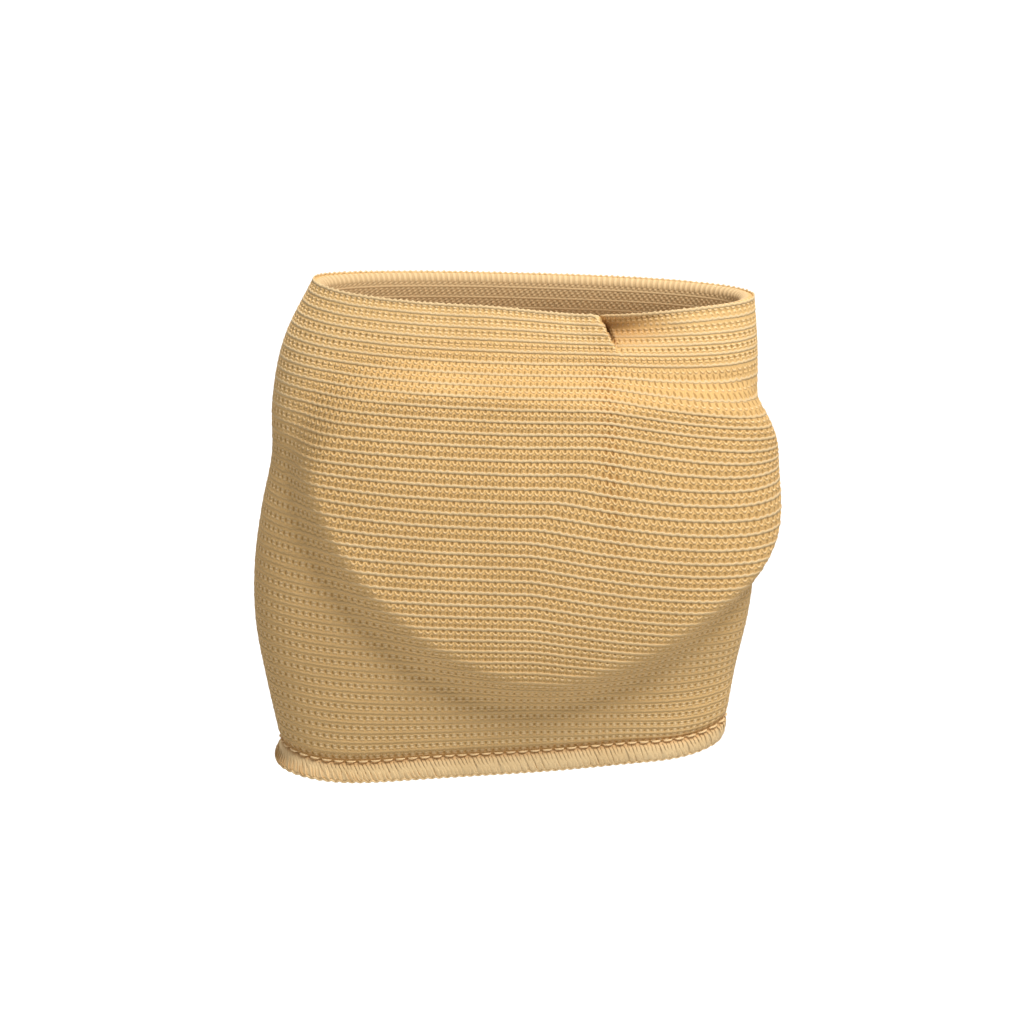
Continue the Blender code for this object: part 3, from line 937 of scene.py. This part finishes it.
class Finish:
    """A Principled material under construction, with its noises on Object coordinates."""

    def __init__(self, name, roughness):
        self.material = bpy.data.materials.new(name)
        self.material.use_nodes = True
        self.tree = self.material.node_tree
        self.shader = self.tree.nodes["Principled BSDF"]
        self.put("Roughness", roughness)
        self.put("Specular IOR Level", SPECULAR)
        source = self.tree.nodes.new("ShaderNodeTexCoord")
        self.place = source.outputs["Object"]

    def put(self, name, value):
        """Sets one of the shader's own sockets to a plain value."""
        self.shader.inputs[name].default_value = value

    def link(self, out, into):
        """Joins an output to an input."""
        self.tree.links.new(out, into)

    def noise(self, scale, detail):
        """A noise pattern, 0 to 1, of that many grains to the metre."""
        node = self.tree.nodes.new("ShaderNodeTexNoise")
        node.inputs["Scale"].default_value = scale
        node.inputs["Detail"].default_value = detail
        self.link(self.place, node.inputs["Vector"])
        return node.outputs["Fac"]

    def attribute(self, name):
        """The piece's own value of that name, 0 to 1."""
        node = self.tree.nodes.new("ShaderNodeAttribute")
        node.attribute_name = name
        return node.outputs["Fac"]

    def math(self, operation, first, second=0.0):
        """One arithmetic step between outputs and numbers."""
        node = self.tree.nodes.new("ShaderNodeMath")
        node.operation = operation
        for value, socket in zip((first, second), node.inputs):
            if isinstance(value, (int, float)):
                socket.default_value = value
            else:
                self.link(value, socket)
        return node.outputs[0]

    def product(self, first, second):
        """One output or number times another."""
        return self.math("MULTIPLY", first, second)

    def rest_of(self, value):
        """What is left of 1."""
        return self.math("SUBTRACT", 1.0, value)

    def number_mix(self, share, first, second):
        """Two numbers mixed by a share."""
        node = self.tree.nodes.new("ShaderNodeMix")
        self.link(share, node.inputs[0])
        self.link(first, node.inputs[2])
        self.link(second, node.inputs[3])
        return node.outputs[0]

    def step(self, value, low, high):
        """0 below low, 1 above high, and a smooth S between them."""
        node = self.tree.nodes.new("ShaderNodeMapRange")
        node.interpolation_type = "SMOOTHSTEP"
        node.inputs["From Min"].default_value = low
        node.inputs["From Max"].default_value = high
        self.link(value, node.inputs["Value"])
        return node.outputs["Result"]

    def two_tone(self, value, colours, low=0.3, high=0.7):
        """The first colour where a value is below low, the second above high, blended between."""
        node = self.tree.nodes.new("ShaderNodeValToRGB")
        for element, place, colour in zip(node.color_ramp.elements, (low, high), colours):
            element.position = place
            element.color = (*colour, 1.0)
        self.link(value, node.inputs["Fac"])
        return node.outputs["Color"]

    def mix(self, share, first, second):
        """Two colours mixed by a share. The second may be a plain colour."""
        node = self.tree.nodes.new("ShaderNodeMix")
        node.data_type = "RGBA"
        self.link(share, node.inputs[0])
        self.link(first, node.inputs[6])
        if isinstance(second, tuple):
            node.inputs[7].default_value = (*second, 1.0)
        else:
            self.link(second, node.inputs[7])
        return node.outputs[2]

    def bump(self, height, distance, strength):
        """A relief on the surface, in metres for a height from 0 to 1."""
        node = self.tree.nodes.new("ShaderNodeBump")
        node.inputs["Distance"].default_value = distance
        node.inputs["Strength"].default_value = strength
        self.link(height, node.inputs["Height"])
        self.link(node.outputs["Normal"], self.shader.inputs["Normal"])

    def with_painted_shade(self, colour):
        """A colour under the piece's painted shade: brown in a shaded hollow, dark deep in a fold."""
        shade = self.attribute("fold")
        deep = self.two_tone(shade, (HOLLOW_SHADE_COLOUR, FOLD_SHADE_COLOUR), 0.40, 0.95)
        return self.mix(shade, colour, deep)

    def colour(self, value):
        """Sets the base colour from an output."""
        self.link(value, self.shader.inputs["Base Color"])

    def sheen(self, weight, tint):
        """The soft light of fibres that stand up from the yarn."""
        self.put("Sheen Weight", weight)
        self.put("Sheen Roughness", SHEEN_ROUGHNESS)
        self.put("Sheen Tint", (*tint, 1.0))


def yarn_finish(name, colours, slack_colours=None, roughness=0.82):
    """Spun yarn: fine fibres in its colour and relief, and slow changes from place to place.

    With slack_colours, the piece's stretched-knit attribute says where the first colours are seen;
    at the cushion's low end it is lowered, so that the darker slack colours paint shade there. The
    nubs then get a painted highlight.
    """
    finish = Finish(name, roughness)
    fibres = finish.noise(YARN_FIBRES, 3.0)
    patches = finish.noise(YARN_PATCHES, 2.0)
    fine = finish.product(fibres, 1.0 - YARN_PATCH_SHARE)
    slow = finish.product(patches, YARN_PATCH_SHARE)
    blend = finish.math("ADD", fine, slow)
    colour = finish.two_tone(blend, colours, high=0.68)
    if slack_colours is not None:
        slack = finish.two_tone(blend, slack_colours, high=0.68)
        colour = finish.mix(finish.attribute("stretch_and_low_shade"), slack, colour)
        # Painted highlight on the nubs.
        nub_highlight = finish.product(finish.attribute("nub"), NUB_HIGHLIGHT_SHARE)
        colour = finish.mix(nub_highlight, colour, NUB_HIGHLIGHT_COLOUR)
    finish.colour(finish.with_painted_shade(colour))
    finish.bump(fibres, YARN_RELIEF, 0.7)
    finish.sheen(0.10, colours[1])
    return finish.material


def ground_finish():
    """The cloth under the yarns, and the knit's flat back inside.

    Outside, the holes get painted shade, whose places come from the cosine of the wale and the
    sine or cosine of the course: where the knit is open, high in its course at a wale and low
    between two wales, and elsewhere one to a stitch. They get less of it where the turned-in edge
    lies behind. The slit, the hollow, the crease and the needle holes get painted shade too.
    """
    finish = Finish("knit_ground", 0.9)
    place = finish.tree.nodes.new("ShaderNodeUVMap")
    place.uv_map = "knit"
    split = finish.tree.nodes.new("ShaderNodeSeparateXYZ")
    finish.link(place.outputs["UV"], split.inputs[0])
    turn = 2.0 * math.pi
    wale = finish.math("COSINE", finish.product(split.outputs[0], turn))
    course = finish.math("COSINE", finish.product(split.outputs[1], turn))
    half_course = finish.math("COSINE", finish.product(split.outputs[1], 2.0 * turn))
    around_nubs = finish.product(finish.product(wale, half_course), -1.0)
    up_course = finish.math("SINE", finish.product(split.outputs[1], turn))
    by_turns = finish.product(finish.product(wale, up_course), -1.0)
    between = finish.product(finish.rest_of(wale), finish.rest_of(course))
    one_each = finish.math("SUBTRACT", finish.product(between, 0.5), 1.0)
    hole = finish.number_mix(finish.attribute("open"), one_each, by_turns)
    hole = finish.step(hole, *HOLE_EDGE)
    behind = finish.product(finish.attribute("doubled"), DOUBLED_HOLES)
    hole = finish.product(hole, finish.rest_of(behind))
    fibres = finish.noise(GROUND_FIBRES, 3.0)
    cloth = finish.two_tone(fibres, GROUND_COLOURS)
    # Painted shade in the holes.
    dark = finish.two_tone(fibres, HOLE_SHADE_COLOURS)
    ridges = finish.step(course, *RIDGE_EDGE)
    bumps = finish.step(around_nubs, *BUMP_EDGE)
    weave = finish.math("MAXIMUM", finish.rest_of(finish.product(bumps, BUMP_SHARE)), ridges)
    back = finish.two_tone(weave, BACK_COLOURS, 0.1, 0.8)
    inside = finish.attribute("inside")
    outside = finish.with_painted_shade(finish.mix(hole, cloth, dark))
    finish.colour(finish.mix(inside, outside, back))
    relief = finish.number_mix(inside, finish.rest_of(hole), weave)
    relief = finish.product(relief, 1.0 - GROUND_FIBRE_SHARE)
    relief = finish.math("ADD", relief, finish.product(fibres, GROUND_FIBRE_SHARE))
    finish.bump(relief, GROUND_RELIEF, 0.8)
    finish.sheen(0.20, BACK_COLOURS[1])
    return finish.material


def gel_finish():
    """Soft gel: light goes a little way in, and a fine grain dulls the gloss."""
    finish = Finish("soft_gel", 0.42)
    clouds = finish.noise(GEL_CLOUDS, 3.0)
    finish.colour(finish.two_tone(clouds, GEL_COLOURS, low=0.35))
    finish.bump(finish.noise(GEL_GRAIN, 2.0), GEL_RELIEF, 0.5)
    finish.put("Subsurface Weight", 0.5)
    finish.put("Subsurface Radius", (1.0, 0.5, 0.3))
    finish.put("Subsurface Scale", 0.004)
    return finish.material


def finished(piece, material):
    """The piece, with its material on it."""
    piece.data.materials.append(material)
    return piece


def pale_floor():
    """A pale floor that bends up in a quarter circle to a backdrop, as one sweep."""
    length = np.linspace(0.0, 1.0, 64)
    arc = np.clip((length - RUN_END) / (BEND_END - RUN_END), 0.0, 1.0) * 0.5 * np.pi
    y = FLOOR_FRONT + FLOOR_RUN * np.minimum(length / RUN_END, 1.0) + FLOOR_BEND * np.sin(arc)
    z = FLOOR + FLOOR_BEND * (1.0 - np.cos(arc))
    z = z + BACKDROP_RISE * np.clip((length - BEND_END) / (1.0 - BEND_END), 0.0, 1.0)
    x = np.linspace(-FLOOR_HALF_WIDTH, FLOOR_HALF_WIDTH, 12)
    points = np.stack(np.broadcast_arrays(x[None, :], y[:, None], z[:, None]), axis=-1)
    quads, _, _ = grid_faces(len(length), len(x), False, False)
    floor = make_mesh("pale_floor", points, quads)
    finish = Finish("pale_floor", 0.9)
    grain = finish.noise(3.0, 2.0)
    finish.colour(finish.two_tone(grain, FLOOR_COLOURS))
    return finished(floor, finish.material)


def studio_light():
    """A white sky, and the lamps as round soft lights."""
    world = bpy.data.worlds.new("studio")
    world.use_nodes = True
    sky = world.node_tree.nodes["Background"]
    sky.inputs["Color"].default_value = (1.0, 1.0, 1.0, 1.0)
    sky.inputs["Strength"].default_value = SKY_STRENGTH
    bpy.context.scene.world = world
    bpy.context.scene.view_settings.view_transform = "Standard"
    for lamp in LAMPS:
        light = bpy.data.lights.new(lamp.name, "AREA")
        light.shape = "DISK"
        light.size = lamp.size
        light.energy = lamp.watts
        holder = bpy.data.objects.new(lamp.name, light)
        holder.location = lamp.place
        sight = Vector(lamp.aim) - Vector(lamp.place)
        holder.rotation_euler = sight.to_track_quat("-Z", "Y").to_euler()
        bpy.context.scene.collection.objects.link(holder)


def photo_camera():
    """The photograph's view: the sole, seen from a little above its middle."""
    rise = math.radians(CAMERA_RISE)
    back = Vector((0.0, -math.cos(rise), math.sin(rise)))
    up = Vector((0.0, math.sin(rise), math.cos(rise)))
    data = bpy.data.cameras.new("photo_view")
    data.sensor_width = SENSOR
    data.lens = SENSOR * CAMERA_DISTANCE / FIELD
    view = bpy.data.objects.new("photo_view", data)
    aim = Vector((PICTURE_MIDDLE[0], 0.0, 0.0)) + up * PICTURE_MIDDLE[1]
    view.location = aim + back * CAMERA_DISTANCE
    view.rotation_euler = back.to_track_quat("Z", "Y").to_euler()
    bpy.context.scene.collection.objects.link(view)
    bpy.context.scene.camera = view


def main():
    """Makes every piece, gives it its finish and its place in the frame, and lights it."""
    sleeve = Sleeve()
    photo_camera()
    pale_floor()
    studio_light()
    ground = finished(cloth_ground(sleeve), ground_finish())
    ribs = finished(rib_yarns(sleeve), yarn_finish("elastic_rib", RIB_COLOURS, SLACK_RIB_COLOURS))
    stitch_yarn = yarn_finish("stitch_yarn", YARN_COLOURS, SLACK_YARN_COLOURS)
    stitches = [finished(stitch_yarns(sleeve, courses), stitch_yarn) for courses in COURSE_BANDS]
    band = finished(hem_band(sleeve), yarn_finish("hem_cloth", HEM_COLOURS))
    hem_thread = yarn_finish("hem_thread", THREAD_COLOURS, roughness=0.7)
    makers = (overlock_threads, scalloped_edge_thread, needle_stitches)
    threads = [finished(make_threads(sleeve), hem_thread) for make_threads in makers]
    cushion = finished(gel_cushion(sleeve), gel_finish())

    for piece in (ground, ribs, *stitches, band, *threads, cushion):
        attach(piece, "root")
    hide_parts("knit_sleeve")
    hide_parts("heel_hem")
    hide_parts("gel_pad")


main()
